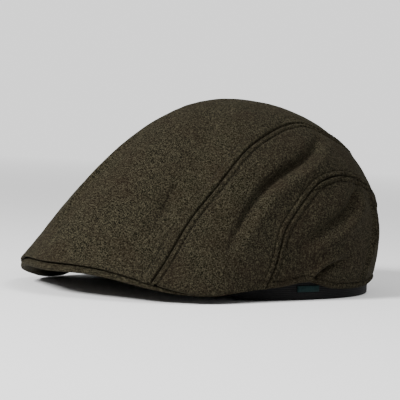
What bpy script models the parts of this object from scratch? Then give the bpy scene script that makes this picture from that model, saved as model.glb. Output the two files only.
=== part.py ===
"""Soft flat cap: a wool crown sewn from five panels over a stiff peak, with an inner band and a bare label.

Metres, +Z up. The peak points along -Y, and the wearer's left side is +X.
The origin is the middle of the cap's footprint, on the surface that it rests on.
"""
import math

import bmesh
import bpy
import numpy as np
from mathutils import Vector

# Driving sizes of the crown, in metres, from the middle of the crown
HALF_WIDTH = 0.089
FRONT = 0.1525
BACK = 0.0995
HEIGHT = 0.1245

# Cloth, seams and clearances
CLOTH = 0.0020
SEAM_GAP = 0.0009
SEAM_ROLL = 0.0028
SEAM_DIP = 0.0006
CORNER_PULL = 0.0013
CLEAR = 0.0003

# Folds: the depth and the half width that the table of folds shares out, where the ridge beside a valley
# lies, in half widths, and how a fold fades at its ends
FOLD_DEPTH = 0.0046
FOLD_WIDTH = 0.0055
RIDGE_PLACE = 1.9
FOLD_ENDS = 0.04
FOLD_FADE = 0.6

# The peak: how far its edge hangs below the crown's front edge, is set back from it and is tucked inside it,
# how thick its board is at the band and what share of that it has at its horns
PEAK_DROP = 0.0065
PEAK_SET_BACK = 0.0005
PEAK_TUCK = 0.0018
PEAK_CLEAR = 0.0011
PEAK_BOARD = 0.0030
PEAK_HORN_SHARE = 0.7
PEAK_CAMBER = 0.0040
PEAK_BEVEL = 0.0009
PEAK_BEVEL_ANGLE = 55.0
PEAK_ROOT_HEIGHT = 0.0165
PEAK_TIP_ANGLE = 58.0

# The inner band, which carries the cap
BAND_HEIGHT = 0.030
BAND_CLOTH = 0.0018
BAND_CLEAR = 0.0006
BAND_WIDEST = 0.004
BAND_BROW = 0.098
BAND_SQUARENESS = 2.3
BROW_LIFT = 0.013
TEMPLE = 0.045

# The label on the band, under the notch in the hem
LABEL_LENGTH = 0.018
LABEL_HEIGHT = 0.0040
LABEL_CLOTH = 0.0008
LABEL_FOOT = 0.0052
LABEL_MIDDLE = -0.0075

# Grid cells along and across each panel
TOP_CELLS = (14, 26)
SIDE_CELLS = (24, 13)
BACK_CELLS = (13, 11)
PEAK_CELLS = (36, 5)
BAND_SIDES = 64
LABEL_CELLS = (6, 1)
SHARP_ANGLE = 50.0

# The crown from the front round to the back, as one meridian a row. across is a share of HALF_WIDTH, along
# a share of FRONT or BACK and foot a share of HEIGHT. lean is the wall's outward lean at its foot, in
# degrees. foot_pull and crown_pull say how far the wall keeps its lean and how far the top stays flat, as
# shares of its height and reach.
CROWN_COLUMNS = ("across", "along", "foot", "lean", "foot_pull", "crown_pull")
CROWN_ROWS = (
    (0.000, -1.000, 0.165, -36.0, 0.400, 0.455),
    (0.390, -0.935, 0.159, -39.0, 0.440, 0.480),
    (0.750, -0.787, 0.097, -45.5, 0.480, 0.505),
    (0.945, -0.580, 0.047, -26.0, 0.515, 0.530),
    (0.970, -0.280, 0.070, 0.0, 0.555, 0.557),
    (0.970, 0.150, 0.052, 15.0, 0.567, 0.587),
    (0.850, 0.560, 0.057, 15.0, 0.580, 0.618),
    (0.506, 0.873, 0.085, 19.0, 0.595, 0.648),
    (0.000, 0.970, 0.084, 16.0, 0.610, 0.678),
)

# Places on the crown are (turn, rise): turn runs 0 to 1 from the front over the left side and the back, and
# rise runs from 0 at the hem to 1 at the top. Each seam is given on the left side, from the hem to the
# centre back.
TOP_SEAM = (
    (0.121, 0.000), (0.130, 0.137), (0.144, 0.274), (0.168, 0.368), (0.203, 0.465),
    (0.248, 0.575), (0.286, 0.656), (0.335, 0.692), (0.372, 0.645), (0.412, 0.550),
    (0.450, 0.475), (0.500, 0.445),
)
TOP_SEAM_CORNER = 10
CRESCENT_SEAM = (
    (0.245, 0.000), (0.254, 0.077), (0.261, 0.177), (0.273, 0.261), (0.288, 0.341),
    (0.308, 0.401), (0.337, 0.416), (0.365, 0.395), (0.390, 0.350), (0.415, 0.290),
    (0.450, 0.235), (0.500, 0.215),
)
CRESCENT_SHOULDER = 5

# Folds and dents, as a line of three places, the depth and half width as shares of FOLD_DEPTH and
# FOLD_WIDTH, the ridge beside it as a share of its depth, and how much of it the right side has. Seen from
# outside, the ridge is on the left of the line.
FOLD_COLUMNS = ("start", "middle", "end", "depth", "width", "ridge", "right")
FOLD_ROWS = (
    ((0.322, 0.590), (0.264, 0.418), (0.180, 0.180), 1.00, 1.00, 0.45, 0.7),
    ((0.112, 0.420), (0.108, 0.330), (0.104, 0.225), 0.40, 1.30, 0.20, 0.6),
    ((0.356, 0.372), (0.318, 0.270), (0.275, 0.145), 0.85, 1.30, 0.40, 0.6),
    ((0.368, 0.040), (0.393, 0.200), (0.398, 0.320), 0.60, 0.90, 0.50, 0.6),
    ((0.286, 0.010), (0.298, 0.062), (0.316, 0.098), 0.40, 0.60, 0.60, 0.0),
)

# The notch in the left hem: its turn, its half width as a turn, and its height as a rise
NOTCH_TURN = 0.283
NOTCH_SPREAD = 0.016
NOTCH_RISE = 0.020

# The peak's edge, by the turn to either side: how much of it is tucked inside the crown, and on the left and
# on the right, how far its top is lifted from where the crown's wall just clears it, and its bottom against
# the crown's edge, as shares of PEAK_DROP. The right horn hangs lower, because the soft cap leans on it.
PEAK_COLUMNS = ("turn", "tuck", "left_lift", "left_bottom", "right_lift", "right_bottom")
PEAK_ROWS = (
    (0.000, 0.0, 0.00, -1.00, 0.00, -1.00),
    (0.050, 0.0, 0.00, -0.90, 0.00, -1.00),
    (0.087, 0.0, 0.00, -0.84, 0.00, -1.00),
    (0.110, 0.0, 0.00, -0.78, 0.00, -1.00),
    (0.130, 0.5, 0.00, -0.66, 0.00, -0.97),
    (0.144, 1.0, 0.00, -0.56, 0.00, -0.95),
    (0.158, 1.0, 0.20, -0.38, 0.00, -0.92),
    (0.172, 1.0, 0.32, -0.26, 0.00, -0.88),
    (0.200, 1.0, 0.40, -0.12, 0.10, -0.84),
    (0.240, 1.0, 0.40, 0.02, 0.40, -0.06),
)

# Finishes, as a colour and a roughness
WOOL = ((0.034, 0.029, 0.018, 1.0), 0.9)
BAND_FINISH = ((0.014, 0.014, 0.019, 1.0), 0.8)
LABEL_FINISH = ((0.020, 0.090, 0.095, 1.0), 0.6)

# Points along each line that a panel is laid out from, and along each fold
DENSE = 161
FOLD_POINTS = 61


def spline(points, closed):
    """A cubic spline with even steps between its points, as a function of the place counted in points."""
    points = np.array(points, float)
    count = len(points)
    matrix = np.zeros((count, count))
    pull = np.zeros_like(points)
    for i in range(count):
        if not closed and i in (0, count - 1):
            matrix[i, i] = 1
            continue
        before, after = (i - 1) % count, (i + 1) % count
        matrix[i, i] = 4
        matrix[i, before] += 1
        matrix[i, after] += 1
        pull[i] = 6 * (points[before] - 2 * points[i] + points[after])
    bends = np.linalg.solve(matrix, pull)

    def at(place):
        place = np.asarray(place, float)
        i = np.floor(place).astype(int)
        i = i % count if closed else np.clip(i, 0, count - 2)
        part = (place - np.floor(place) if closed else place - i)[..., None]
        rest = 1 - part
        j = (i + 1) % count
        line = rest * points[i] + part * points[j]
        return line + ((rest**3 - rest) * bends[i] + (part**3 - part) * bends[j]) / 6

    return at


def crown_rows():
    """The meridians all round the crown, in metres, with the right half mirrored from the left."""
    left = [dict(zip(CROWN_COLUMNS, row)) for row in CROWN_ROWS]
    rows = []
    for side, half in ((1, left), (-1, left[-2:0:-1])):
        for row in half:
            length = FRONT if row["along"] < 0 else BACK
            place = (side * row["across"] * HALF_WIDTH, row["along"] * length, row["foot"] * HEIGHT)
            rows.append((*place, row["lean"], row["foot_pull"], row["crown_pull"]))
    return rows


CROWN_LOOP = spline(crown_rows(), closed=True)
MERIDIANS = 2 * len(CROWN_ROWS) - 2


def crown_point(turn, rise):
    """Points on the crown's outer face. Each meridian is a curve from the hem to the level top."""
    row = CROWN_LOOP(np.asarray(turn) * MERIDIANS)
    across, along, foot, lean, foot_pull, crown_pull = (row[..., k] for k in range(6))
    reach = np.hypot(across, along)
    climb = foot_pull * (HEIGHT - foot)
    lean = np.radians(lean)
    up = np.asarray(rise)
    weights = ((1 - up) ** 3, 3 * up * (1 - up) ** 2, 3 * up**2 * (1 - up), up**3)
    radii = (reach, reach + np.sin(lean) * climb, reach * crown_pull, 0 * reach)
    heights = (foot, foot + np.cos(lean) * climb, HEIGHT + 0 * reach, HEIGHT + 0 * reach)
    radius = sum(w * r for w, r in zip(weights, radii))
    height = sum(w * h for w, h in zip(weights, heights))
    return np.stack([radius * across / reach, radius * along / reach, height], -1)


def to_disc(places):
    """(turn, rise) places as points of a flat disc, with the top at its middle and the front at -Y."""
    places = np.asarray(places, float)
    angle = 2 * math.pi * places[..., 0]
    reach = 1 - places[..., 1]
    return np.stack([reach * np.sin(angle), -reach * np.cos(angle)], -1)


def on_crown(disc):
    """Points on the crown's outer face from points of the disc."""
    turn = np.arctan2(disc[..., 0], -disc[..., 1]) / (2 * math.pi)
    return crown_point(turn, 1 - np.hypot(disc[..., 0], disc[..., 1]))


def crown_normal(disc, step=1e-3):
    """The crown's outward direction at points of the disc."""
    side, along = np.array([step, 0]), np.array([0, step])
    one = on_crown(disc + side) - on_crown(disc - side)
    two = on_crown(disc + along) - on_crown(disc - along)
    normal = np.cross(one, two)
    return normal / np.linalg.norm(normal, axis=-1, keepdims=True)


def evenly(points):
    """A dense line of disc points, spaced again so that the steps on the crown are even."""
    steps = np.linalg.norm(np.diff(on_crown(points), axis=0), axis=1)
    place = np.concatenate([[0], np.cumsum(steps)])
    even = np.linspace(0, place[-1], DENSE)
    return np.stack([np.interp(even, place, points[:, k]) for k in (0, 1)], -1)


def seam_part(seam, first, last):
    """The left seam between two of its places. It runs on over the centre back into its mirrored half."""
    places = list(seam) + [(1 - turn, rise) for turn, rise in seam[-2::-1]]
    line = spline(to_disc(places), closed=False)
    return evenly(line(np.linspace(first, last, DENSE)))


def hem_rise(turn):
    """How far the hem is cut up at the notch."""
    return NOTCH_RISE * np.exp(-(((turn - NOTCH_TURN) / NOTCH_SPREAD) ** 2))


def hem_part(first, last):
    """The hem between two turns."""
    turn = np.linspace(first, last, DENSE)
    return evenly(to_disc(np.stack([turn, hem_rise(turn)], -1)))


def back_part(low, high):
    """The centre back between two rises."""
    rise = np.linspace(low, high, DENSE)
    return evenly(to_disc(np.stack([np.full(DENSE, 0.5), rise], -1)))


def mirrored(sides):
    """The sides of a right panel from those of the left one."""
    return [side * (-1, 1) for side in sides]


def patch(sides, across, along):
    """Disc points inside four sides: start, end, foot and head. across and along run 0 to 1 over it."""
    start, end, foot, head = sides

    def read(side, place):
        dense = np.linspace(0, 1, DENSE)
        return np.stack([np.interp(place, dense, side[:, k]) for k in (0, 1)], -1)

    u, v = across[..., None], along[..., None]
    between_ends = (1 - u) * read(start, along) + u * read(end, along)
    between_feet = (1 - v) * read(foot, across) + v * read(head, across)
    low = (1 - u) * foot[0] + u * foot[-1]
    high = (1 - u) * head[0] + u * head[-1]
    return between_ends + between_feet - ((1 - v) * low + v * high)


def stations(cells, length, first_sewn, last_sewn):
    """Where the grid lines lie over a panel: a narrow cell along each edge and even cells between."""
    length = length[..., None]
    start, end = (SEAM_GAP / 2 * sewn / length for sewn in (first_sewn, last_sewn))
    low = start + SEAM_ROLL / length
    high = 1 - end - SEAM_ROLL / length
    between = low + (high - low) * np.linspace(0, 1, cells - 1)
    return np.concatenate([start, between, 1 - end], -1)


def fold_shift(points, normals):
    """How far folds and dents move the cloth along its outward direction."""
    shift = np.zeros(points.shape[:-1])
    for row in FOLD_ROWS:
        fold = dict(zip(FOLD_COLUMNS, row))
        for side, share in ((1, 1.0), (-1, fold["right"])):
            if not share:
                continue
            ends = to_disc([fold["start"], fold["middle"], fold["end"]]) * (side, 1)
            place = np.linspace(0, 2, FOLD_POINTS)
            line = on_crown(spline(ends, closed=False)(place))
            away = points[..., None, :] - line
            nearest = np.linalg.norm(away, axis=-1).argmin(-1)
            away = np.take_along_axis(away, nearest[..., None, None], -2)[..., 0, :]
            along = np.gradient(line, axis=0)[nearest]
            beside = np.cross(normals, along)
            beside *= side / np.linalg.norm(beside, axis=-1, keepdims=True)
            offset = (away * beside).sum(-1) / (fold["width"] * FOLD_WIDTH)
            far = (away * along).sum(-1) / np.linalg.norm(along, axis=-1) / FOLD_WIDTH
            taper = np.sin(np.clip(place[nearest] / 2, FOLD_ENDS, 1 - FOLD_ENDS) * math.pi) ** FOLD_FADE
            taper *= np.exp(-(far**2))
            valley = np.exp(-(offset**2))
            ridge = fold["ridge"] * np.exp(-((offset - RIDGE_PLACE) ** 2))
            shift -= share * fold["depth"] * FOLD_DEPTH * taper * (valley - ridge)
    return shift


def cloth_material(name, colour, roughness):
    """A matt cloth in one colour."""
    material = bpy.data.materials.new(name)
    material.use_nodes = True
    shader = material.node_tree.nodes["Principled BSDF"]
    shader.inputs["Base Color"].default_value = colour
    shader.inputs["Roughness"].default_value = roughness
    shader.inputs["Metallic"].default_value = 0.0
    return material


def add_object(name, bm, collection, finish):
    """A named object with its own material, shaded smooth but for its edges."""
    mesh = bpy.data.meshes.new(name)
    bm.to_mesh(mesh)
    bm.free()
    mesh.materials.append(cloth_material(name + "_cloth", *finish))
    mesh.shade_smooth()
    mesh.set_sharp_from_angle(angle=math.radians(SHARP_ANGLE))
    piece = bpy.data.objects.new(name, mesh)
    collection.objects.link(piece)
    return piece


def add_wall(piece, thickness):
    """Gives an open surface its thickness, on its inner side."""
    wall = piece.modifiers.new("wall", "SOLIDIFY")
    wall.thickness = thickness
    wall.offset = -1
    wall.use_even_offset = True
    return wall


def shaped_grid(cells, points):
    """A grid whose vertices are moved to points, and the row and column of each vertex there."""
    bm = bmesh.new()
    bmesh.ops.create_grid(bm, x_segments=cells[0], y_segments=cells[1], size=0.5)
    places = []
    for vert in bm.verts:
        column = round((vert.co.x + 0.5) * cells[0])
        row = round((vert.co.y + 0.5) * cells[1])
        vert.co = points[row, column]
        places.append((row, column))
    return bm, places


def face_out(bm, outward):
    """Turns the faces of an open surface to the side that outward gives for a point."""
    bm.normal_update()
    score = sum(face.normal.dot(outward(face.calc_center_median())) for face in bm.faces)
    if score < 0:
        bmesh.ops.reverse_faces(bm, faces=bm.faces)


def upwards(_):
    return Vector((0, 0, 1))


def from_middle(point):
    """Away from the middle of the crown, at half its height."""
    away = point.copy()
    away.z -= HEIGHT / 2
    return away


def pull_in(disc, row, column):
    """Moves a corner off both its seams, towards the vertex inside it."""
    inside = disc[1 + 3 * row, 1 + 3 * column]
    corner = disc[row, column]
    share = CORNER_PULL / np.linalg.norm(on_crown(inside) - on_crown(corner))
    disc[row, column] = corner + (inside - corner) * share


def panel(name, sides, sewn, cells, collection):
    """One cloth panel of the crown, inside its four sides. sewn says which of them are seams, not a hem."""
    across, along = np.meshgrid(np.linspace(0, 1, cells[0] + 1), np.linspace(0, 1, cells[1] + 1))
    rough = on_crown(patch(sides, across, along))
    width = np.linalg.norm(np.diff(rough, axis=1), axis=-1).sum(1)
    length = np.linalg.norm(np.diff(rough, axis=0), axis=-1).sum(0)
    across = stations(cells[0], width, sewn[0], sewn[1])
    along = stations(cells[1], length, sewn[2], sewn[3]).T
    disc = patch(sides, across, along)
    for row, end_sewn in ((0, sewn[2]), (-1, sewn[3])):
        for column, side_sewn in ((0, sewn[0]), (-1, sewn[1])):
            if end_sewn and side_sewn:
                pull_in(disc, row, column)
    points = on_crown(disc)
    normals = crown_normal(disc)
    shift = fold_shift(points, normals)
    edges = ((slice(None), 0), (slice(None), -1), (0, slice(None)), (-1, slice(None)))
    for is_sewn, edge in zip(sewn, edges):
        if is_sewn:
            shift[edge] -= SEAM_DIP
    bm, _ = shaped_grid(cells, points + shift[..., None] * normals)
    face_out(bm, from_middle)
    piece = add_object(name, bm, collection, WOOL)
    add_wall(piece, CLOTH)


def top_panel(collection):
    """The long tongue over the crown, from the peak to its rounded end at the back."""
    last = 2 * (len(TOP_SEAM) - 1)
    left = seam_part(TOP_SEAM, 0, TOP_SEAM_CORNER)
    front = TOP_SEAM[0][0]
    sides = [
        left * (-1, 1),
        left,
        hem_part(-front, front),
        seam_part(TOP_SEAM, last - TOP_SEAM_CORNER, TOP_SEAM_CORNER),
    ]
    panel("top_panel", sides, (True, True, False, True), TOP_CELLS, collection)


def side_panels(collection):
    """The panels at each side, from the peak and the hem back to the seam at the centre back."""
    top_end, crescent_end = TOP_SEAM[-1], CRESCENT_SEAM[-1]
    sides = [
        hem_part(TOP_SEAM[0][0], CRESCENT_SEAM[0][0])[::-1],
        back_part(crescent_end[1], top_end[1]),
        seam_part(CRESCENT_SEAM, 0, len(CRESCENT_SEAM) - 1),
        seam_part(TOP_SEAM, 0, len(TOP_SEAM) - 1),
    ]
    for name, shape in (("side_panel_left", sides), ("side_panel_right", mirrored(sides))):
        panel(name, shape, (False, True, True, True), SIDE_CELLS, collection)


def back_panels(collection):
    """The panels under the crescent seams, which meet at the centre back. The left hem has the notch."""
    first, last = CRESCENT_SEAM[0][0], CRESCENT_SEAM[-1][1]
    sides = [
        seam_part(CRESCENT_SEAM, 0, CRESCENT_SHOULDER),
        back_part(0, last),
        hem_part(first, 0.5),
        seam_part(CRESCENT_SEAM, CRESCENT_SHOULDER, len(CRESCENT_SEAM) - 1),
    ]
    panel("back_panel_left", sides, (True, True, False, True), BACK_CELLS, collection)
    plain_hem = evenly(to_disc(np.stack([np.linspace(first, 0.5, DENSE), np.zeros(DENSE)], -1)))
    right = mirrored([sides[0], sides[1], plain_hem, sides[3]])
    panel("back_panel_right", right, (True, True, False, True), BACK_CELLS, collection)


def band_point(angle, inset, height):
    """Points of the band's face. angle is in radians from the front, and inset is from its outer face."""
    widest = max(row[CROWN_COLUMNS.index("across")] for row in CROWN_ROWS) * HALF_WIDTH
    rear = CROWN_ROWS[-1][CROWN_COLUMNS.index("along")] * BACK
    side = widest - CLOTH - BAND_CLEAR - inset
    front = BAND_BROW + BAND_WIDEST - inset
    back = rear - BAND_WIDEST - CLOTH - BAND_CLEAR - inset
    half = np.where(np.cos(angle) > 0, front, back)
    reach = np.abs(np.sin(angle) / side) ** BAND_SQUARENESS + np.abs(np.cos(angle) / half) ** BAND_SQUARENESS
    reach = reach ** (-1 / BAND_SQUARENESS)
    x = reach * np.sin(angle)
    y = BAND_WIDEST - reach * np.cos(angle)
    return np.stack([x, y, np.broadcast_to(height, x.shape)], -1)


def smooth_step(value):
    """0 below 0, 1 above 1 and a smooth rise between."""
    value = np.clip(value, 0, 1)
    return value * value * (3 - 2 * value)


def band_foot(y):
    """The height of the band's lower edge: flat where the cap rests, and lifted over the peak's root."""
    return BROW_LIFT * smooth_step((-TEMPLE - y) / (BAND_BROW - TEMPLE))


def inner_band(collection):
    """The ring of band cloth inside the hem. Its lower edge carries the cap."""
    bm = bmesh.new()
    bmesh.ops.create_cone(bm, cap_ends=False, segments=BAND_SIDES, radius1=1, radius2=1, depth=1)
    for vert in bm.verts:
        angle = math.atan2(vert.co.x, -vert.co.y)
        point = band_point(np.array(angle), 0, 0)
        top = BAND_HEIGHT if vert.co.z > 0 else 0
        vert.co = (point[0], point[1], band_foot(point[1]) + top)
    face_out(bm, from_middle)
    piece = add_object("sweatband", bm, collection, BAND_FINISH)
    add_wall(piece, BAND_CLOTH)


def label(collection):
    """The bare tab sewn to the band under the notch."""
    low = LABEL_MIDDLE - LABEL_LENGTH / 2
    y = np.linspace(low, low + LABEL_LENGTH, LABEL_CELLS[0] + 1)
    angles = np.linspace(0, math.pi, DENSE)
    along = band_point(angles, 0, 0)[:, 1]
    angle, height = np.meshgrid(np.interp(y, along, angles), (LABEL_FOOT, LABEL_FOOT + LABEL_HEIGHT))
    bm, _ = shaped_grid(LABEL_CELLS, band_point(angle, -CLEAR - LABEL_CLOTH, height))
    face_out(bm, from_middle)
    piece = add_object("label", bm, collection, LABEL_FINISH)
    add_wall(piece, LABEL_CLOTH)


def peak(collection):
    """The stiff peak in its cloth cover, thick at its front edge, with its horns tucked inside the crown."""
    rows = [dict(zip(PEAK_COLUMNS, row)) for row in PEAK_ROWS]
    turns = [row["turn"] for row in rows]

    def edge_share(turn, key):
        return np.interp(np.abs(turn), turns, [row[key] for row in rows])

    across, along = np.meshgrid(np.linspace(-1, 1, PEAK_CELLS[0] + 1), np.linspace(0, 1, PEAK_CELLS[1] + 1))
    turn = across * turns[-1]
    tuck = edge_share(turn, "tuck")
    lift = np.where(turn > 0, edge_share(turn, "left_lift"), edge_share(turn, "right_lift"))
    bottom = np.where(turn > 0, edge_share(turn, "left_bottom"), edge_share(turn, "right_bottom"))
    hem = to_disc(np.stack([turn, 0 * turn], -1))
    edge, slope = on_crown(hem), crown_normal(hem)[..., 2]
    top = PEAK_DROP * lift - (CLOTH + SEAM_DIP) * np.maximum(slope, 0) - PEAK_CLEAR
    bottom = PEAK_DROP * bottom
    wall = CLOTH / np.sqrt(1 - slope**2)
    set_back = (1 - tuck) * PEAK_SET_BACK + tuck * (wall + PEAK_TUCK)
    reach = np.hypot(edge[..., 0], edge[..., 1])
    outer = edge * (1, 1, 0) * ((reach - set_back) / reach)[..., None]
    outer[..., 2] = edge[..., 2] + (top + bottom) / 2
    arch = 1 - across**2
    horn_height = outer[0, 0, 2]
    inner = band_point(across * math.radians(PEAK_TIP_ANGLE), -CLEAR, 0)
    inner[..., 2] = horn_height + (PEAK_ROOT_HEIGHT - horn_height) * arch
    middle = outer + (inner - outer) * along[..., None]
    middle[..., 2] = outer[..., 2] + (inner - outer)[..., 2] * smooth_step(along)
    middle[..., 2] += PEAK_CAMBER * arch * (4 * along * (1 - along)) ** 2
    board_thickness = PEAK_BOARD * (PEAK_HORN_SHARE + (1 - PEAK_HORN_SHARE) * arch)
    thickness = (top - bottom) * (1 - along) + board_thickness * along
    bm, places = shaped_grid(PEAK_CELLS, middle)
    face_out(bm, upwards)
    piece = add_object("peak", bm, collection, WOOL)
    board = piece.vertex_groups.new(name="board")
    for index, place in enumerate(places):
        board.add([index], thickness[place] / PEAK_DROP, "REPLACE")
    wall = add_wall(piece, PEAK_DROP)
    wall.offset = 0
    wall.use_even_offset = False
    wall.vertex_group = "board"
    rim = piece.modifiers.new("rim", "BEVEL")
    rim.width = PEAK_BEVEL
    rim.segments = 2
    rim.limit_method = "ANGLE"
    rim.angle_limit = math.radians(PEAK_BEVEL_ANGLE)


def build():
    for old in list(bpy.data.objects):
        bpy.data.objects.remove(old)
    collection = bpy.data.collections.new("flat_cap")
    bpy.context.scene.collection.children.link(collection)
    top_panel(collection)
    side_panels(collection)
    back_panels(collection)
    peak(collection)
    inner_band(collection)
    label(collection)
    centre_on_footprint(collection)


def centre_on_footprint(collection):
    """Moves every piece along Y alike, so that the origin is in the middle of the cap's length."""
    ends = [vert.co.y for piece in collection.objects for vert in piece.data.vertices]
    middle = (min(ends) + max(ends)) / 2
    for piece in collection.objects:
        for vert in piece.data.vertices:
            vert.co.y -= middle


build()
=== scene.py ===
"""A soft flat cap in brushed wool: the looks of its cloth, seams and stitching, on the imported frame.

Metres, +Z up. The peak points along -Y, and the wearer's left side is +X.
"""
import math

import bmesh
import bpy
import numpy as np
from mathutils import Matrix, Vector, noise


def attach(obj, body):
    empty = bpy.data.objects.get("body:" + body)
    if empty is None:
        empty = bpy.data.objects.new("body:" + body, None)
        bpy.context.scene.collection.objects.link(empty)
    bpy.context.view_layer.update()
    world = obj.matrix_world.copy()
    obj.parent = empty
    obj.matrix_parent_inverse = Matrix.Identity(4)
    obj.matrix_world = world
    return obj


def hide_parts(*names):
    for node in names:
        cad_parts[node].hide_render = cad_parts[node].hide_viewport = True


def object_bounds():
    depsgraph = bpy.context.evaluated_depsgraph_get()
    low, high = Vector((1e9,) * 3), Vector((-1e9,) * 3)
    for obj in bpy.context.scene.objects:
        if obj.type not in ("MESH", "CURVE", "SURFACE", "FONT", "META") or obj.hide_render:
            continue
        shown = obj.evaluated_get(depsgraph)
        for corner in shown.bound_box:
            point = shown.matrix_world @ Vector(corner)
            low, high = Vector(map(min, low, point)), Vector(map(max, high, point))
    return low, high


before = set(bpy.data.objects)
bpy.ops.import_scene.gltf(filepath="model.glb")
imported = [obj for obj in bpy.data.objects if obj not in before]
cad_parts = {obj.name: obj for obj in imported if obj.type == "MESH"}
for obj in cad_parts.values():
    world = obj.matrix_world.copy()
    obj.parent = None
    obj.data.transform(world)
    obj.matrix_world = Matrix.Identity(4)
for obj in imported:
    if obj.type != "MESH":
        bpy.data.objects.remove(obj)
bounds_at_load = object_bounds()


# The crown: one soft dome of heavy brushed wool, cut into five panels and sewn inside out. Its form is a
# loop of meridians from the front round to the back, each one a curve from the hem to the level top.
HALF_WIDTH = 0.089
FRONT = 0.1525
BACK = 0.0995
HEIGHT = 0.1245
CLOTH = 0.0020
# The point of the table under the crown's top, from which the lengths to the front and the back are taken.
MIDDLE = np.array([0.0, bounds_at_load[0][1] + FRONT, 0.0])
CROWN_COLUMNS = ("across", "along", "foot", "lean", "foot_pull", "crown_pull")
CROWN_ROWS = (
    (0.000, -1.000, 0.165, -36.0, 0.400, 0.455),
    (0.390, -0.935, 0.159, -39.0, 0.440, 0.480),
    (0.750, -0.787, 0.097, -45.5, 0.480, 0.505),
    (0.945, -0.580, 0.047, -26.0, 0.515, 0.530),
    (0.970, -0.280, 0.070, 0.0, 0.555, 0.557),
    (0.970, 0.150, 0.052, 15.0, 0.567, 0.587),
    (0.850, 0.560, 0.057, 15.0, 0.580, 0.618),
    (0.506, 0.873, 0.085, 19.0, 0.595, 0.648),
    (0.000, 0.970, 0.084, 16.0, 0.610, 0.678),
)
NORMAL_STEP = 0.001


def spline(points, closed):
    """A cubic spline with even steps between its points, as a function of the place counted in points."""
    points = np.array(points, float)
    count = len(points)
    matrix = np.zeros((count, count))
    pull = np.zeros_like(points)
    for i in range(count):
        if not closed and i in (0, count - 1):
            matrix[i, i] = 1
            continue
        before, after = (i - 1) % count, (i + 1) % count
        matrix[i, i] = 4
        matrix[i, before] += 1
        matrix[i, after] += 1
        pull[i] = 6 * (points[before] - 2 * points[i] + points[after])
    bends = np.linalg.solve(matrix, pull)

    def at(place):
        place = np.asarray(place, float)
        i = np.floor(place).astype(int)
        i = i % count if closed else np.clip(i, 0, count - 2)
        part = (place - np.floor(place) if closed else place - i)[..., None]
        rest = 1 - part
        j = (i + 1) % count
        line = rest * points[i] + part * points[j]
        return line + ((rest**3 - rest) * bends[i] + (part**3 - part) * bends[j]) / 6

    return at


def crown_rows():
    """The meridians all round the crown, in metres, with the right half mirrored from the left."""
    left = [dict(zip(CROWN_COLUMNS, row)) for row in CROWN_ROWS]
    rows = []
    for side, half in ((1, left), (-1, left[-2:0:-1])):
        for row in half:
            length = FRONT if row["along"] < 0 else BACK
            place = (side * row["across"] * HALF_WIDTH, row["along"] * length, row["foot"] * HEIGHT)
            rows.append((*place, row["lean"], row["foot_pull"], row["crown_pull"]))
    return rows


crown_loop = spline(crown_rows(), closed=True)
MERIDIANS = 2 * len(CROWN_ROWS) - 2


def crown_point(turn, rise):
    """Points on the crown's outer face, by the turn round from the front and the rise from hem to top."""
    row = crown_loop(np.asarray(turn) * MERIDIANS)
    across, along, foot, lean, foot_pull, crown_pull = (row[..., k] for k in range(6))
    reach = np.hypot(across, along)
    climb = foot_pull * (HEIGHT - foot)
    lean = np.radians(lean)
    up = np.asarray(rise)
    weights = ((1 - up) ** 3, 3 * up * (1 - up) ** 2, 3 * up**2 * (1 - up), up**3)
    radii = (reach, reach + np.sin(lean) * climb, reach * crown_pull, 0 * reach)
    heights = (foot, foot + np.cos(lean) * climb, HEIGHT + 0 * reach, HEIGHT + 0 * reach)
    radius = sum(w * r for w, r in zip(weights, radii))
    height = sum(w * h for w, h in zip(weights, heights))
    return np.stack([radius * across / reach, radius * along / reach, height], -1)


def to_disc(places):
    """(turn, rise) places as points of a flat disc, with the top at its middle and the front at -Y."""
    places = np.asarray(places, float)
    angle = 2 * math.pi * places[..., 0]
    reach = 1 - places[..., 1]
    return np.stack([reach * np.sin(angle), -reach * np.cos(angle)], -1)


def on_crown(disc):
    """Points on the crown's outer face from points of the disc."""
    turn = np.arctan2(disc[..., 0], -disc[..., 1]) / (2 * math.pi)
    return crown_point(turn, 1 - np.hypot(disc[..., 0], disc[..., 1]))


def crown_normal(disc):
    """The crown's outward direction at points of the disc."""
    side, along = np.array([NORMAL_STEP, 0]), np.array([0, NORMAL_STEP])
    one = on_crown(disc + side) - on_crown(disc - side)
    two = on_crown(disc + along) - on_crown(disc - along)
    normal = np.cross(one, two)
    return normal / np.linalg.norm(normal, axis=-1, keepdims=True)


def smooth_step(value):
    """0 below 0, 1 above 1 and a smooth rise between."""
    value = np.clip(value, 0, 1)
    return value * value * (3 - 2 * value)


# The seams and the hem, which bound the panels. The long tongue's seam runs from the peak to the centre
# back, the crescent seam from the hem round the rear, and the left hem has a small notch.
TOP_SEAM = (
    (0.121, 0.000), (0.130, 0.137), (0.144, 0.274), (0.168, 0.368), (0.203, 0.465),
    (0.248, 0.575), (0.286, 0.656), (0.335, 0.692), (0.372, 0.645), (0.412, 0.550),
    (0.450, 0.475), (0.500, 0.445),
)
CRESCENT_SEAM = (
    (0.245, 0.000), (0.254, 0.077), (0.261, 0.177), (0.273, 0.261), (0.288, 0.341),
    (0.308, 0.401), (0.337, 0.416), (0.365, 0.395), (0.390, 0.350), (0.415, 0.290),
    (0.450, 0.235), (0.500, 0.215),
)
NOTCH_TURN = 0.283
NOTCH_SPREAD = 0.016
NOTCH_RISE = 0.020
LINE_POINTS = 321
# Where the tongue's side ends and its rear end starts, and where the crescent has risen from the hem, both
# counted in points from the seam's start.
TOP_SEAM_CORNER = 10
CRESCENT_SHOULDER = 5


def lengths_along(line):
    """The length from a line's start to each of its points."""
    steps = np.linalg.norm(np.diff(line, axis=0), axis=1)
    return np.concatenate([[0], np.cumsum(steps)])


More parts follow.
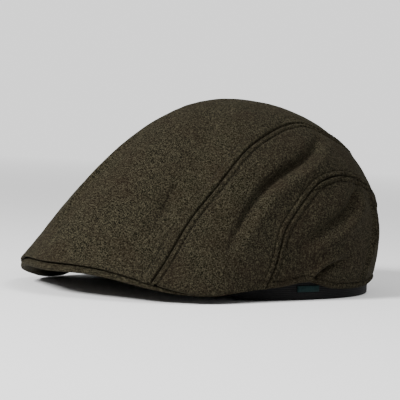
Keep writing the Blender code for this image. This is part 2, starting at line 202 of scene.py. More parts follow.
def read_line(line, marks, places):
    """Points of a line of disc points at some places on it. marks are the places of its own points."""
    return np.stack([np.interp(places, marks, line[:, k]) for k in (0, 1)], -1)


def evenly(points):
    """A line of disc points, spaced again so that the steps on the crown are even."""
    lengths = lengths_along(on_crown(points))
    return read_line(points, lengths, np.linspace(0, lengths[-1], LINE_POINTS))


def seam_part(seam, first, last):
    """The left seam between two of its places. It runs on over the centre back into its mirrored half."""
    places = list(seam) + [(1 - turn, rise) for turn, rise in seam[-2::-1]]
    line = spline(to_disc(places), closed=False)
    return evenly(line(np.linspace(first, last, LINE_POINTS)))


def hem_part(first, last, notched=True):
    """The hem between two turns, cut up a little at the notch."""
    turn = np.linspace(first, last, LINE_POINTS)
    rise = NOTCH_RISE * np.exp(-(((turn - NOTCH_TURN) / NOTCH_SPREAD) ** 2)) * notched
    return evenly(to_disc(np.stack([turn, rise], -1)))


def back_part(low, high):
    """The centre back between two rises."""
    rise = np.linspace(low, high, LINE_POINTS)
    return evenly(to_disc(np.stack([np.full(LINE_POINTS, 0.5), rise], -1)))


# The folds and dents of the soft cloth, as on a worn cap that is set down. Each is a line on the crown, with
# a valley along it and a ridge beside it, and most have a weaker fellow on the right.
FOLD_DEPTH = 0.0062
FOLD_WIDTH = 0.0050
FOLD_POINTS = 121
# The ridge stands that many widths from the valley, whose steep side is that share as wide as the other.
RIDGE_PLACE = 1.8
FOLD_STEEP = 0.50
# Powers for the valley's sharpness and its taper along the line, which stops at that share from each end.
FOLD_CREASE = 1.3
FOLD_FADE = 0.6
FOLD_ENDS = 0.04
FOLD_COLUMNS = ("start", "middle", "end", "depth", "width", "ridge", "right")
FOLD_ROWS = (
    ((0.336, 0.596), (0.272, 0.434), (0.206, 0.165), 1.12, 1.00, 0.45, 0.6),  # deep fold behind the seam
    ((0.112, 0.420), (0.108, 0.330), (0.104, 0.225), 0.50, 1.10, 0.30, 0.6),  # soft dent at the front
    ((0.356, 0.372), (0.320, 0.270), (0.277, 0.145), 1.00, 1.05, 0.45, 0.5),  # dent in the back panel
    ((0.356, 0.030), (0.379, 0.190), (0.390, 0.345), 0.60, 0.42, 1.10, 0.6),  # ridge up the rear
    ((0.286, 0.010), (0.298, 0.062), (0.316, 0.098), 0.62, 0.50, 0.80, 0.0),  # fold over the notch
    ((-0.050, 0.560), (-0.038, 0.380), (-0.032, 0.190), 0.55, 0.36, 0.90, 0.0),  # crease at the right
)


def from_line(points, line):
    """The way from the nearest point of a line, that point's place on it from 0 to 1, and its direction."""
    away = np.empty_like(points)
    place = np.empty(points.shape[:-1])
    direction = np.empty_like(points)
    tangents = np.gradient(line, axis=0)
    tangents /= np.linalg.norm(tangents, axis=1, keepdims=True)
    for i, row in enumerate(points):
        gap = row[:, None, :] - line
        nearest = (gap**2).sum(-1).argmin(-1)
        away[i] = gap[np.arange(len(row)), nearest]
        place[i] = nearest / (len(line) - 1)
        direction[i] = tangents[nearest]
    return away, place, direction


def fold_shift(points, normals):
    """How far folds and dents move the cloth along its outward direction."""
    shift = np.zeros(points.shape[:-1])
    for row in FOLD_ROWS:
        fold = dict(zip(FOLD_COLUMNS, row))
        for side, share in ((1, 1.0), (-1, fold["right"])):
            if not share:
                continue
            ends = to_disc([fold["start"], fold["middle"], fold["end"]]) * (side, 1)
            line = on_crown(spline(ends, closed=False)(np.linspace(0, 2, FOLD_POINTS)))
            away, place, along = from_line(points, line)
            beside = np.cross(normals, along)
            beside *= side / np.linalg.norm(beside, axis=-1, keepdims=True)
            offset = (away * beside).sum(-1) / (fold["width"] * FOLD_WIDTH)
            far = (away * along).sum(-1) / FOLD_WIDTH
            taper = np.sin(np.clip(place, FOLD_ENDS, 1 - FOLD_ENDS) * math.pi) ** FOLD_FADE
            valley = np.exp(-(np.where(offset < 0, -offset / FOLD_STEEP, offset) ** FOLD_CREASE))
            ridge = fold["ridge"] * np.exp(-((offset - RIDGE_PLACE) ** 2))
            shift -= share * fold["depth"] * FOLD_DEPTH * taper * np.exp(-(far**2)) * (valley - ridge)
    return shift


# How the cloth lies at its seams and hem. A sewn edge turns down into the seam, the allowance under it
# lifts a strip of cloth beside it, and each stitch of the row beyond pulls that strip down.
SEAM_DIP = 0.0015
SEAM_ROLL = 0.0006
HEM_DIP = 0.0004
HEM_ROLL = 0.0007
STRIP_RISE = 0.0005
STITCH_DIP = 0.0011
STITCH_PULL = 0.0006
STITCH_STEP = 0.0036
STITCH_DRIFT = 0.011
STITCH_SWAY = 1.5
PUCKER = 0.00032
GROOVE_WAVE = 0.2
EDGE_STATIONS = (
    0.0, 0.00025, 0.0005, 0.00085, 0.00125, 0.0018, 0.0024, 0.0029, 0.0033,
    0.0037, 0.0041, 0.0046, 0.0053, 0.0058, 0.0062, 0.0066, 0.0071, 0.0078,
)
CELL = 0.0012
WANDER = 0.00030
WANDER_STEP = 0.014
FINE_WANDER = 0.4
FINE_WANDER_SCALE = 2.7
# The kinds of edge, each with the way from the edge to its row of stitches.
SEAM = ("seam", 0.0037)
WIDE_SEAM = ("seam", 0.0062)
PLAIN_HEM = ("hem", None)
STITCHED_HEM = ("hem", 0.0036)


def stitch_phase(place):
    """The angle of a row's stitches at a length along it: a full turn a stitch, a little uneven."""
    return 2 * math.pi * place / STITCH_STEP + STITCH_SWAY * np.sin(place / STITCH_DRIFT)


def edge_profile(distance, place, edge):
    """How far the cloth at an edge stands off the crown, by its distance from it and its place along it."""
    kind, stitch_away = edge
    roll, dip = (SEAM_ROLL, SEAM_DIP) if kind == "seam" else (HEM_ROLL, HEM_DIP)
    height = -dip * np.exp(-((distance / roll) ** 2))
    if stitch_away is None:
        return height
    wave = np.cos(stitch_phase(place))
    before_row = (stitch_away + STITCH_PULL / 2 - distance) / STITCH_PULL
    strip = smooth_step(distance / (2 * roll)) * smooth_step(before_row)
    groove = np.exp(-(((distance - stitch_away) / STITCH_PULL) ** 2))
    groove *= 1 - GROOVE_WAVE + GROOVE_WAVE * wave
    return height + (STRIP_RISE - PUCKER * wave) * strip - STITCH_DIP * groove


def stations(length):
    """Where grid lines lie across a length: close at both ends, for the seam and its stitching."""
    near = np.array(EDGE_STATIONS) / length
    count = max(2, round((1 - 2 * near[-1]) * length / CELL))
    return np.concatenate([near, np.linspace(near[-1], 1 - near[-1], count + 1)[1:-1], 1 - near[::-1]])


def patch(sides, across, along):
    """Disc points inside four sides: start, end, foot and head. across and along run 0 to 1 over it."""
    start, end, foot, head = sides
    marks = np.linspace(0, 1, LINE_POINTS)
    u, v = across[..., None], along[..., None]
    between_ends = (1 - u) * read_line(start, marks, along) + u * read_line(end, marks, along)
    between_feet = (1 - v) * read_line(foot, marks, across) + v * read_line(head, marks, across)
    low = (1 - u) * foot[0] + u * foot[-1]
    high = (1 - u) * head[0] + u * head[-1]
    return between_ends + between_feet - ((1 - v) * low + v * high)


def shaped_grid(points):
    """A grid with its vertices moved to rows of points and its faces turned away from the crown's middle."""
    rows, columns = points.shape[0] - 1, points.shape[1] - 1
    bm = bmesh.new()
    bmesh.ops.create_grid(bm, x_segments=columns, y_segments=rows, size=0.5)
    for vert in bm.verts:
        column = round((vert.co.x + 0.5) * columns)
        row = round((vert.co.y + 0.5) * rows)
        vert.co = points[row, column]
    bm.normal_update()
    middle = Vector(MIDDLE + (0, 0, HEIGHT / 2))
    if sum(face.normal.dot(face.calc_center_median() - middle) for face in bm.faces) < 0:
        bmesh.ops.reverse_faces(bm, faces=bm.faces)
    return bm


def add_piece(name, bm, material, node=None):
    """A finished piece on the cap's one body, which may stand for a node of the frame."""
    mesh = bpy.data.meshes.new(name)
    bm.to_mesh(mesh)
    bm.free()
    mesh.materials.append(material)
    mesh.shade_smooth()
    piece = bpy.data.objects.new(name, mesh)
    bpy.context.scene.collection.objects.link(piece)
    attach(piece, "root")
    if node:
        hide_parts(node)
    return piece


def add_wall(piece, thickness):
    """Gives an open cloth surface its thickness, on its inner side."""
    wall = piece.modifiers.new("wall", "SOLIDIFY")
    wall.thickness = thickness
    wall.offset = -1
    wall.use_even_offset = False


def cloth_wander(points):
    """The slow unevenness of soft cloth."""
    height = np.empty(points.shape[:-1])
    for place in np.ndindex(height.shape):
        spot = Vector(points[place]) / WANDER_STEP
        height[place] = noise.noise(spot) + FINE_WANDER * noise.noise(spot * FINE_WANDER_SCALE)
    return height * WANDER


# The cloth: heavy wool, brushed and a little felted, in dark olive brown with fine lighter fibres. Its
# colour drifts slowly from greener to browner, and its nap catches the light at grazing angles.
WOOL_DARK = (0.0013, 0.0011, 0.0006, 1)
WOOL_MIDDLE = (0.0053, 0.0047, 0.0023, 1)
WOOL_LIGHT = (0.052, 0.0455, 0.028, 1)
WOOL_BROWN = (0.0100, 0.0062, 0.0036, 1)
WOOL_SHEEN = (0.60, 0.53, 0.34, 1)
MOTTLE_SCALE = 1380
DRIFT_SCALE = 38
FIBRE_SCALE = 2300
FIBRE_STRETCH = 0.22
NAP_SCALE = 1300
NAP_DEPTH = 0.0006
NO_SHARE = (0, 0, 0, 1)
DRIFT_SHARE = (0.62, 0.62, 0.62, 1)
FIBRE_SHARE = (0.6, 0.6, 0.6, 1)
EVEN = (1, 1, 1)
# The places of the Mix node's colour sockets, of which it has more than one by each name.
MIX_FIRST, MIX_SECOND, MIX_RESULT = 6, 7, 2


def link(tree, start, start_socket, end, end_socket):
    """Joins two nodes at sockets that have names of their own."""
    tree.links.new(start.outputs[start_socket], end.inputs[end_socket])


def noise_node(tree, source, scale, stretch, detail, roughness):
    """A noise in cycles a metre, drawn out along the axes whose stretch is less than 1."""
    mapping = tree.nodes.new("ShaderNodeMapping")
    mapping.inputs["Scale"].default_value = stretch
    texture = tree.nodes.new("ShaderNodeTexNoise")
    texture.inputs["Scale"].default_value = scale
    texture.inputs["Detail"].default_value = detail
    texture.inputs["Roughness"].default_value = roughness
    link(tree, source, "Object", mapping, "Vector")
    link(tree, mapping, "Vector", texture, "Vector")
    return texture


def ramp_node(tree, source, socket, stops):
    """A colour ramp over a value, from (place, colour) stops."""
    ramp = tree.nodes.new("ShaderNodeValToRGB")
    while len(ramp.color_ramp.elements) < len(stops):
        ramp.color_ramp.elements.new(0.5)
    for element, (place, colour) in zip(ramp.color_ramp.elements, stops):
        element.position = place
        element.color = colour
    link(tree, source, socket, ramp, "Fac")
    return ramp


def mixed(tree, share, first, colour):
    """The colour at a socket, mixed with a plain colour by a ramp's value, as the socket of the result."""
    mix = tree.nodes.new("ShaderNodeMix")
    mix.data_type = "RGBA"
    tree.links.new(share.outputs["Color"], mix.inputs["Factor"])
    tree.links.new(first, mix.inputs[MIX_FIRST])
    mix.inputs[MIX_SECOND].default_value = colour
    return mix.outputs[MIX_RESULT]


def wool(name):
    """Brushed wool, with fibres drawn out along three directions."""
    material = bpy.data.materials.new(name)
    material.use_nodes = True
    tree = material.node_tree
    shader = tree.nodes["Principled BSDF"]
    place = tree.nodes.new("ShaderNodeTexCoord")
    mottle = noise_node(tree, place, MOTTLE_SCALE, EVEN, 4.0, 0.60)
    body = ramp_node(tree, mottle, "Fac", [(0.37, WOOL_DARK), (0.50, WOOL_MIDDLE), (0.67, WOOL_LIGHT)])
    drift = noise_node(tree, place, DRIFT_SCALE, EVEN, 4.0, 0.65)
    share = ramp_node(tree, drift, "Fac", [(0.42, NO_SHARE), (0.66, DRIFT_SHARE)])
    colour = mixed(tree, share, body.outputs["Color"], WOOL_BROWN)
    for axis in range(3):
        stretch = [1 if k == axis else FIBRE_STRETCH for k in range(3)]
        fibre = noise_node(tree, place, FIBRE_SCALE, stretch, 2.0, 0.5)
        share = ramp_node(tree, fibre, "Fac", [(0.57, NO_SHARE), (0.70, FIBRE_SHARE)])
        colour = mixed(tree, share, colour, WOOL_LIGHT)
    tree.links.new(colour, shader.inputs["Base Color"])
    nap = noise_node(tree, place, NAP_SCALE, EVEN, 5.0, 0.7)
    bump = tree.nodes.new("ShaderNodeBump")
    bump.inputs["Strength"].default_value = 0.55
    bump.inputs["Distance"].default_value = NAP_DEPTH
    link(tree, nap, "Fac", bump, "Height")
    link(tree, bump, "Normal", shader, "Normal")
    shader.inputs["Roughness"].default_value = 0.95
    shader.inputs["Specular IOR Level"].default_value = 0.05
    shader.inputs["Sheen Weight"].default_value = 0.018
    shader.inputs["Sheen Roughness"].default_value = 0.45
    shader.inputs["Sheen Tint"].default_value = WOOL_SHEEN
    return material


crown_wool = wool("brushed_wool")


# The sewing thread: dark olive spun polyester, duller than silk and a little smoother than the wool. Each
# stitch pulls into the cloth, so only its top shows.
THREAD_RADIUS = 0.00028
THREAD_LENGTH = 0.0024
THREAD_LIFT = 0.00012
THREAD_DARK = (0.003, 0.0026, 0.0015, 1)
THREAD_LIGHT = (0.010, 0.0088, 0.0055, 1)
TWIST_SCALE = 900


def spun_thread(name):
    """Twisted thread, with the twist as fine bands of dark and light."""
    material = bpy.data.materials.new(name)
    material.use_nodes = True
    tree = material.node_tree
    shader = tree.nodes["Principled BSDF"]
    twist = tree.nodes.new("ShaderNodeTexWave")
    twist.inputs["Scale"].default_value = TWIST_SCALE
    twist.inputs["Distortion"].default_value = 1.0
    link(tree, tree.nodes.new("ShaderNodeTexCoord"), "Object", twist, "Vector")
    bands = ramp_node(tree, twist, "Fac", [(0.2, THREAD_DARK), (0.9, THREAD_LIGHT)])
    link(tree, bands, "Color", shader, "Base Color")
    shader.inputs["Roughness"].default_value = 0.6
    shader.inputs["Specular IOR Level"].default_value = 0.05
    return material


thread = spun_thread("sewing_thread")


def add_stitches(name, sides, edges, middle):
    """Rows of short stitches, each lying in the dip that it pulls into the cloth."""
    bm = bmesh.new()
    for side, edge in zip(sides, edges):
        away = edge[1]
        if away is None:
            continue
        lengths = lengths_along(on_crown(side))
        turns = stitch_phase(lengths) / (2 * math.pi)
        count = np.arange(math.ceil(turns[0]), math.floor(turns[-1]) + 1)
        at = np.interp(count, turns, lengths)
        at = at[(at > away) & (at < lengths[-1] - away)]
        disc = read_line(side, lengths, at)
        edge_points, normals = on_crown(disc), crown_normal(disc)
        along = on_crown(read_line(side, lengths, at + THREAD_LENGTH / 2)) - edge_points
        along /= np.linalg.norm(along, axis=-1, keepdims=True)
        inward = np.cross(normals, along)
        inward *= np.sign(((middle - edge_points) * inward).sum(-1))[:, None]
        points = (edge_points + inward * away)[None]
        shift = fold_shift(points, normals[None]) + cloth_wander(points)
        shift += edge_profile(np.array(away), at, edge) + THREAD_LIFT
        spots = MIDDLE + points[0] + shift[0][:, None] * normals
        for spot, lengthways, up in zip(spots, along, normals):
            turned = Matrix((lengthways, np.cross(up, lengthways), up)).transposed().to_4x4()
            shape = Matrix.Diagonal((THREAD_LENGTH / 2, THREAD_RADIUS, THREAD_RADIUS, 1))
            place = Matrix.Translation(Vector(spot)) @ turned @ shape
            bmesh.ops.create_icosphere(bm, subdivisions=1, radius=1, matrix=place)
    add_piece(name, bm, thread)


# The top panel: one long tongue of wool from the peak over the crown, with a rounded end at the back. Its
# sides and rear end are sewn, and its front edge is turned under along the peak.
CLOTH_SLACK = 0.0002


def panel(name, sides, edges):
    """One cloth panel of the crown, with its rows of stitches. edges says how each of its sides is made."""
    lines = [on_crown(side) for side in sides]
    lengths = [lengths_along(line)[-1] for line in lines]
    across, along = np.meshgrid(stations(max(lengths[2:])), stations(max(lengths[:2])))
    disc = patch(sides, across, along)
    points = on_crown(disc)
    normals = crown_normal(disc)
    shift = fold_shift(points, normals) + cloth_wander(points)
    for line, length, edge in zip(lines, lengths, edges):
        away, place, direction = from_line(points, line)
        along_line = (away * direction).sum(-1)
        away -= along_line[..., None] * direction
        shift += edge_profile(np.linalg.norm(away, axis=-1), place * length + along_line, edge)
    bm = shaped_grid(MIDDLE + points + shift[..., None] * normals)
    piece = add_piece(name + "_cloth", bm, crown_wool, node=name)
    add_wall(piece, CLOTH - CLOTH_SLACK)
    middle = points[points.shape[0] // 2, points.shape[1] // 2]
    add_stitches(name + "_stitches", sides, edges, middle)


top_last = 2 * (len(TOP_SEAM) - 1)
top_left = seam_part(TOP_SEAM, 0, TOP_SEAM_CORNER)
top_front = TOP_SEAM[0][0]
top_rear = seam_part(TOP_SEAM, top_last - TOP_SEAM_CORNER, TOP_SEAM_CORNER)
top_sides = [top_left * (-1, 1), top_left, hem_part(-top_front, top_front), top_rear]
panel("top_panel", top_sides, (WIDE_SEAM, WIDE_SEAM, PLAIN_HEM, SEAM))


# The side panels: a curved strip of wool at each side, from the peak and the hem back to the centre back,
# sewn to the tongue above and to the back panel below.
side_sides = [
    hem_part(TOP_SEAM[0][0], CRESCENT_SEAM[0][0], notched=False)[::-1],
    back_part(CRESCENT_SEAM[-1][1], TOP_SEAM[-1][1]),
    seam_part(CRESCENT_SEAM, 0, len(CRESCENT_SEAM) - 1),
    seam_part(TOP_SEAM, 0, len(TOP_SEAM) - 1),
]
side_edges = (PLAIN_HEM, SEAM, SEAM, SEAM)
panel("side_panel_left", side_sides, side_edges)
panel("side_panel_right", [side * (-1, 1) for side in side_sides], side_edges)


# The back panels: the two curved pieces under the crescent seams, which meet at the centre back. Their hem
# is turned up inside and stitched, and the left one has the notch.
back_sides = [
    seam_part(CRESCENT_SEAM, 0, CRESCENT_SHOULDER),
    back_part(0, CRESCENT_SEAM[-1][1]),
    hem_part(CRESCENT_SEAM[0][0], 0.5),
    seam_part(CRESCENT_SEAM, CRESCENT_SHOULDER, len(CRESCENT_SEAM) - 1),
]
back_edges = (SEAM, SEAM, STITCHED_HEM, SEAM)
panel("back_panel_left", back_sides, back_edges)
plain_hem = hem_part(CRESCENT_SEAM[0][0], 0.5, notched=False)
right_sides = [side * (-1, 1) for side in (back_sides[0], back_sides[1], plain_hem, back_sides[3])]
panel("back_panel_right", right_sides, back_edges)


# The sweatband: a ring of dark ribbed tape inside the hem, which carries the cap; its colour is the tape's
# own near black, made darker still as painted shade inside the crown. It is flat where it rests, from the
# temples back, and lifted at the brow over the root of the peak.
BAND_HEIGHT = 0.030
BAND_CLOTH = 0.0018
BAND_CLEAR = 0.0006
BAND_WIDEST = 0.004
BAND_BROW = 0.098
BAND_SQUARENESS = 2.3
BROW_LIFT = 0.013
TEMPLE = 0.045
BAND_ROLL = 0.0006
BAND_CELLS = (360, 14)
# The band's two grain colours: the tape's own near black, darkened further as painted shade inside the
# crown.
BAND_DARKER_SHADED = (0.0020, 0.0019, 0.0020, 1)
BAND_LIGHTER_SHADED = (0.0064, 0.0060, 0.0062, 1)
BAND_RIBS = 260
TAPE_GRAIN = 1400
TAPE_DEPTH = 0.0003
WELD = 0.00001


def band_point(angle, inset, height):
    """Points of the band's face. angle is in radians from the front, and inset is from its outer face."""
    widest = max(row[CROWN_COLUMNS.index("across")] for row in CROWN_ROWS) * HALF_WIDTH
    rear = CROWN_ROWS[-1][CROWN_COLUMNS.index("along")] * BACK
    side = widest - CLOTH - BAND_CLEAR - inset
    front = BAND_BROW + BAND_WIDEST - inset
    back = rear - BAND_WIDEST - CLOTH - BAND_CLEAR - inset
    half = np.where(np.cos(angle) > 0, front, back)
    reach = np.abs(np.sin(angle) / side) ** BAND_SQUARENESS + np.abs(np.cos(angle) / half) ** BAND_SQUARENESS
    reach = reach ** (-1 / BAND_SQUARENESS)
    x = reach * np.sin(angle)
    y = BAND_WIDEST - reach * np.cos(angle)
    return np.stack([x, y, np.broadcast_to(height, x.shape)], -1)


def tape(name, colour, light, ribs):
    """Ribbed tape: close cords woven across it, with a soft shine."""
    material = bpy.data.materials.new(name)
    material.use_nodes = True
    tree = material.node_tree
    shader = tree.nodes["Principled BSDF"]
    place = tree.nodes.new("ShaderNodeTexCoord")
    grain = noise_node(tree, place, TAPE_GRAIN, (1, 1, 0.4), 3.0, 0.6)
    body = ramp_node(tree, grain, "Fac", [(0.35, colour), (0.75, light)])
    link(tree, body, "Color", shader, "Base Color")
    wave = tree.nodes.new("ShaderNodeTexWave")
    wave.bands_direction = "Z"
    wave.inputs["Scale"].default_value = ribs
    wave.inputs["Distortion"].default_value = 0.4
    link(tree, place, "Object", wave, "Vector")
    bump = tree.nodes.new("ShaderNodeBump")
    bump.inputs["Strength"].default_value = 0.5
    bump.inputs["Distance"].default_value = TAPE_DEPTH
    link(tree, wave, "Fac", bump, "Height")
    link(tree, bump, "Normal", shader, "Normal")
    shader.inputs["Roughness"].default_value = 0.7
    shader.inputs["Specular IOR Level"].default_value = 0.12
    shader.inputs["Sheen Weight"].default_value = 0.005
    return material


band_cloth = tape("shaded_dark_ribbed_tape", BAND_DARKER_SHADED, BAND_LIGHTER_SHADED, BAND_RIBS)
band_heights = np.linspace(BAND_ROLL, BAND_HEIGHT - BAND_ROLL, BAND_CELLS[1] + 1)
band_section = [(BAND_ROLL, 0.0)]
band_section += [(0.0, height) for height in band_heights]
band_section += [(BAND_ROLL, BAND_HEIGHT), (BAND_CLOTH - BAND_ROLL, BAND_HEIGHT)]
band_section += [(BAND_CLOTH, height) for height in band_heights[::-1]]
band_section += [(BAND_CLOTH - BAND_ROLL, 0.0), (BAND_ROLL, 0.0)]
band_angles = np.linspace(0, 2 * math.pi, BAND_CELLS[0] + 1)
band_rows = []
for inset, height in band_section:
    row = band_point(band_angles, inset, 0)
    row[:, 2] = height + BROW_LIFT * smooth_step((-TEMPLE - row[:, 1]) / (BAND_BROW - TEMPLE))
    band_rows.append(MIDDLE + row)
band_mesh = shaped_grid(np.array(band_rows))
bmesh.ops.remove_doubles(band_mesh, verts=band_mesh.verts, dist=WELD)
bmesh.ops.recalc_face_normals(band_mesh, faces=band_mesh.faces)
add_piece("sweatband_tape", band_mesh, band_cloth, node="sweatband")


# The label: a short bare tab of teal tape, sewn flat on the band under the notch in the hem, its teal
# darkened as painted shade from the hem above it. Its face is a little rounded, and it has nothing on it.
LABEL_LENGTH = 0.018
LABEL_HEIGHT = 0.0040
LABEL_CLOTH = 0.0008
LABEL_WALL = 0.0005
LABEL_ROUND = 0.3
LABEL_FOOT = 0.0052
LABEL_MIDDLE = -0.0075
LABEL_CELLS = (40, 8)
# The label's two grain colours: its teal, darkened as painted shade from the hem above it.
LABEL_DARKER_SHADED = (0.002, 0.010, 0.010, 1)
LABEL_LIGHTER_SHADED = (0.006, 0.024, 0.024, 1)
LABEL_RIBS = 900
CLEAR = 0.0003
label_tape = tape("shaded_teal_tape", LABEL_DARKER_SHADED, LABEL_LIGHTER_SHADED, LABEL_RIBS)
left_angles = np.linspace(0, math.pi, LINE_POINTS)
label_low = LABEL_MIDDLE - LABEL_LENGTH / 2
label_places = np.linspace(label_low, label_low + LABEL_LENGTH, LABEL_CELLS[0] + 1)
label_angles = np.interp(label_places, band_point(left_angles, 0, 0)[:, 1], left_angles)
label_shares = np.linspace(0, 1, LABEL_CELLS[1] + 1)
label_angle, label_share = np.meshgrid(label_angles, label_shares)
label_out = CLEAR + LABEL_CLOTH * (1 - LABEL_ROUND + LABEL_ROUND * np.sin(np.pi * label_share))
label_face = band_point(label_angle, -label_out, LABEL_FOOT + LABEL_HEIGHT * label_share)
label_mesh = shaped_grid(MIDDLE + label_face)
label_piece = add_piece("label_tab", label_mesh, label_tape, node="label")
add_wall(label_piece, LABEL_WALL)


# The peak: a stiff curved board in a cover of the same wool. Its front edge is thick and rounded, where the
# cover folds round it, and its horns are tucked in between the band and the crown.
PEAK_DROP = 0.0065
PEAK_SET_BACK = 0.0005
PEAK_TUCK = 0.0018
PEAK_CLEAR = 0.0003
PEAK_SEAM_DIP = 0.0006
PEAK_BOARD = 0.0030
PEAK_HORN_SHARE = 0.7
PEAK_CAMBER = 0.0040
PEAK_ROOT_HEIGHT = 0.0165
PEAK_TIP_ANGLE = 58.0
PEAK_COLUMNS = ("turn", "tuck", "left_lift", "left_bottom", "right_lift", "right_bottom")
PEAK_ROWS = (
    (0.000, 0.0, 0.00, -1.00, 0.00, -1.00),
    (0.050, 0.0, 0.00, -0.90, 0.00, -1.00),
    (0.087, 0.0, 0.00, -0.84, 0.00, -1.00),
    (0.110, 0.0, 0.00, -0.78, 0.00, -1.00),
    (0.130, 0.5, 0.00, -0.66, 0.00, -0.97),
    (0.144, 1.0, 0.00, -0.56, 0.00, -0.95),
    (0.158, 1.0, 0.20, -0.38, 0.00, -0.92),
    (0.172, 1.0, 0.32, -0.26, 0.00, -0.88),
    (0.200, 1.0, 0.40, -0.12, 0.10, -0.84),
    (0.240, 1.0, 0.40, 0.02, 0.40, -0.06),
)
PEAK_CELLS = (240, 30)
PEAK_LIP_CELLS = 12
peak_across = np.linspace(-1, 1, PEAK_CELLS[0] + 1)
peak_turn = peak_across * PEAK_ROWS[-1][0]


def edge_share(key):
    """A column of the peak's table, at each place across the peak."""
    column = PEAK_COLUMNS.index(key)
    return np.interp(np.abs(peak_turn), [row[0] for row in PEAK_ROWS], [row[column] for row in PEAK_ROWS])


tuck = edge_share("tuck")
lift = np.where(peak_turn > 0, edge_share("left_lift"), edge_share("right_lift"))
bottom = np.where(peak_turn > 0, edge_share("left_bottom"), edge_share("right_bottom"))
peak_hem = to_disc(np.stack([peak_turn, 0 * peak_turn], -1))
hem_edge, slope = on_crown(peak_hem), crown_normal(peak_hem)[..., 2]
top_edge = PEAK_DROP * lift - (CLOTH + PEAK_SEAM_DIP) * np.maximum(slope, 0) - PEAK_CLEAR
bottom_edge = PEAK_DROP * bottom
lip = (top_edge - bottom_edge) / 2
set_back = (1 - tuck) * PEAK_SET_BACK + tuck * (CLOTH / np.sqrt(1 - slope**2) + PEAK_TUCK)
reach = np.hypot(hem_edge[..., 0], hem_edge[..., 1])
outer = hem_edge * (1, 1, 0) * ((reach - set_back) / reach)[..., None]
outer[..., 2] = hem_edge[..., 2] + (top_edge + bottom_edge) / 2
arch = 1 - peak_across**2
inner = band_point(peak_across * math.radians(PEAK_TIP_ANGLE), -CLEAR, 0)
inner[..., 2] = outer[0, 2] + (PEAK_ROOT_HEIGHT - outer[0, 2]) * arch
inward = (inner - outer) * (1, 1, 0)
inward /= np.linalg.norm(inward, axis=-1, keepdims=True)
lip_back = outer + inward * lip[..., None]


def peak_row(along, side):
    """A line of the peak's upper (side 1) or lower (side -1) face: 0 is behind its lip and 1 at its root."""
    row = lip_back + (inner - lip_back) * along
    row[..., 2] = outer[..., 2] + (inner - outer)[..., 2] * smooth_step(along)
    row[..., 2] += PEAK_CAMBER * arch * (4 * along * (1 - along)) ** 2
    board = PEAK_BOARD * (PEAK_HORN_SHARE + (1 - PEAK_HORN_SHARE) * arch)
    row[..., 2] += side * (lip * (1 - along) + board / 2 * along)
    return row


peak_rows = [peak_row(along, 1) for along in np.linspace(1, 0, PEAK_CELLS[1] + 1)]
for angle in np.linspace(0, math.pi, PEAK_LIP_CELLS + 1)[1:-1]:
    row = outer + inward * (lip * (1 - math.sin(angle)))[..., None]
    row[..., 2] += lip * math.cos(angle)
    peak_rows.append(row)
peak_rows += [peak_row(along, -1) for along in np.linspace(0, 1, PEAK_CELLS[1] + 1)]
peak_rows.append(peak_row(1.0, 1))
peak_mesh = shaped_grid(MIDDLE + np.array(peak_rows))
bmesh.ops.remove_doubles(peak_mesh, verts=peak_mesh.verts, dist=WELD)
bmesh.ops.holes_fill(peak_mesh, edges=[edge for edge in peak_mesh.edges if edge.is_boundary])
bmesh.ops.recalc_face_normals(peak_mesh, faces=peak_mesh.faces)
add_piece("peak_cover", peak_mesh, wool("peak_wool"), node="peak")


# The camera: at the photograph's height and angle, a long lens from the cap's front left. It aims a little
# to the left of the crown's middle, just under half way up.
CAMERA_TURN = math.radians(48)
CAMERA_FAR = 1.190
CAMERA_RISE = math.tan(math.radians(3.065))
CAMERA_ROLL = math.radians(2.768)
AIM_LEFT = 0.020249
AIM_HEIGHT = 0.056188
FOCAL_PIXELS = 1790.6
PHOTO_PIXELS = 400
SENSOR = 36
right = Vector((math.cos(CAMERA_TURN), math.sin(CAMERA_TURN), 0))
backward = Vector((math.sin(CAMERA_TURN), -math.cos(CAMERA_TURN), 0))
target = Vector(MIDDLE) - AIM_LEFT * right + Vector((0, 0, AIM_HEIGHT))
eye = target + CAMERA_FAR * (backward + Vector((0, 0, CAMERA_RISE)))


def aimed(place, end):
    """The matrix that puts a camera or a lamp at a place, looking towards an end."""
    return Matrix.Translation(place) @ (end - place).to_track_quat("-Z", "Y").to_matrix().to_4x4()


camera_data = bpy.data.cameras.new("camera")
camera_data.sensor_width = SENSOR
camera_data.lens = SENSOR * FOCAL_PIXELS / PHOTO_PIXELS
camera = bpy.data.objects.new("camera", camera_data)
bpy.context.scene.collection.objects.link(camera)
camera.matrix_world = aimed(eye, target) @ Matrix.Rotation(CAMERA_ROLL, 4, "Z")
bpy.context.scene.camera = camera


# The floor: a plain pale surface, which fades into the backdrop behind it where the camera looks at it, so
# that no edge shows between them.
FLOOR_HALF = 6
FLOOR_COLOUR = (0.86, 0.86, 0.86, 1)
FADE_START = 0.4
FADE_END = 2.4
FADE_REACH = 4
BACKDROP = 1.4


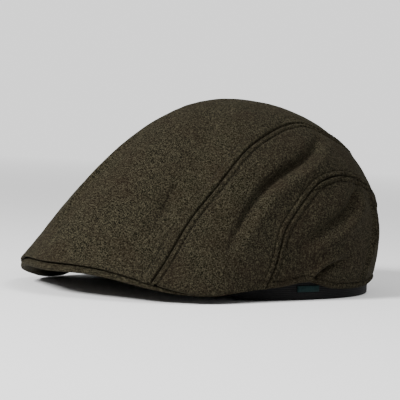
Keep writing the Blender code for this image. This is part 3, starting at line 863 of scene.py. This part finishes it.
def pale_floor(name):
    """Matt pale board near the cap, and the backdrop's even light far from it."""
    material = bpy.data.materials.new(name)
    material.use_nodes = True
    tree = material.node_tree
    board = tree.nodes["Principled BSDF"]
    board.inputs["Base Color"].default_value = FLOOR_COLOUR
    board.inputs["Roughness"].default_value = 0.9
    shrunk = tree.nodes.new("ShaderNodeMapping")
    shrunk.inputs["Scale"].default_value = [1 / FADE_REACH] * 3
    nearness = tree.nodes.new("ShaderNodeTexGradient")
    nearness.gradient_type = "SPHERICAL"
    link(tree, tree.nodes.new("ShaderNodeTexCoord"), "Object", shrunk, "Vector")
    link(tree, shrunk, "Vector", nearness, "Vector")
    faded, plain = (1 - distance / FADE_REACH for distance in (FADE_END, FADE_START))
    fade = ramp_node(tree, nearness, "Color", [(faded, (1, 1, 1, 1)), (plain, (0, 0, 0, 1))])
    seen = tree.nodes.new("ShaderNodeMath")
    seen.operation = "MULTIPLY"
    tree.links.new(fade.outputs["Color"], seen.inputs[0])
    tree.links.new(tree.nodes.new("ShaderNodeLightPath").outputs["Is Camera Ray"], seen.inputs[1])
    glow = tree.nodes.new("ShaderNodeEmission")
    glow.inputs["Strength"].default_value = BACKDROP
    mix = tree.nodes.new("ShaderNodeMixShader")
    link(tree, seen, "Value", mix, "Fac")
    tree.links.new(board.outputs["BSDF"], mix.inputs[1])
    tree.links.new(glow.outputs["Emission"], mix.inputs[2])
    link(tree, mix, "Shader", tree.nodes["Material Output"], "Surface")
    return material


floor_mesh = bmesh.new()
bmesh.ops.create_grid(floor_mesh, x_segments=1, y_segments=1, size=FLOOR_HALF)
floor_data = bpy.data.meshes.new("floor")
floor_mesh.to_mesh(floor_data)
floor_mesh.free()
floor_data.materials.append(pale_floor("pale_floor"))
floor = bpy.data.objects.new("floor", floor_data)
bpy.context.scene.collection.objects.link(floor)


# The light: a soft light above and to the left of the camera, a weaker and broader one above, and a surround
# that is even all round, which the camera sees as a pale backdrop.
LAMP_COLUMNS = ("name", "right", "backward", "height", "size", "power")
LAMP_ROWS = (
    ("key", -1.2, 1.1, 1.0, 0.5, 74),
    ("fill", 0.9, 0.3, 1.6, 1.0, 22),
)
SURROUND = 0.44
for row in LAMP_ROWS:
    lamp = dict(zip(LAMP_COLUMNS, row))
    lamp_data = bpy.data.lights.new(lamp["name"], "AREA")
    lamp_data.size = lamp["size"]
    lamp_data.energy = lamp["power"]
    lamp_object = bpy.data.objects.new(lamp["name"], lamp_data)
    away = lamp["right"] * right + lamp["backward"] * backward + Vector((0, 0, lamp["height"]))
    lamp_object.matrix_world = aimed(Vector(MIDDLE) + away, Vector(MIDDLE))
    bpy.context.scene.collection.objects.link(lamp_object)
world = bpy.data.worlds.new("surround")
world.use_nodes = True
tree = world.node_tree
around = tree.nodes["Background"]
around.inputs["Color"].default_value = (1, 1, 1, 1)
around.inputs["Strength"].default_value = SURROUND
backdrop = tree.nodes.new("ShaderNodeBackground")
backdrop.inputs["Color"].default_value = (1, 1, 1, 1)
backdrop.inputs["Strength"].default_value = BACKDROP
either = tree.nodes.new("ShaderNodeMixShader")
link(tree, tree.nodes.new("ShaderNodeLightPath"), "Is Camera Ray", either, "Fac")
tree.links.new(around.outputs["Background"], either.inputs[1])
tree.links.new(backdrop.outputs["Background"], either.inputs[2])
link(tree, either, "Shader", tree.nodes["World Output"], "Surface")
bpy.context.scene.world = world
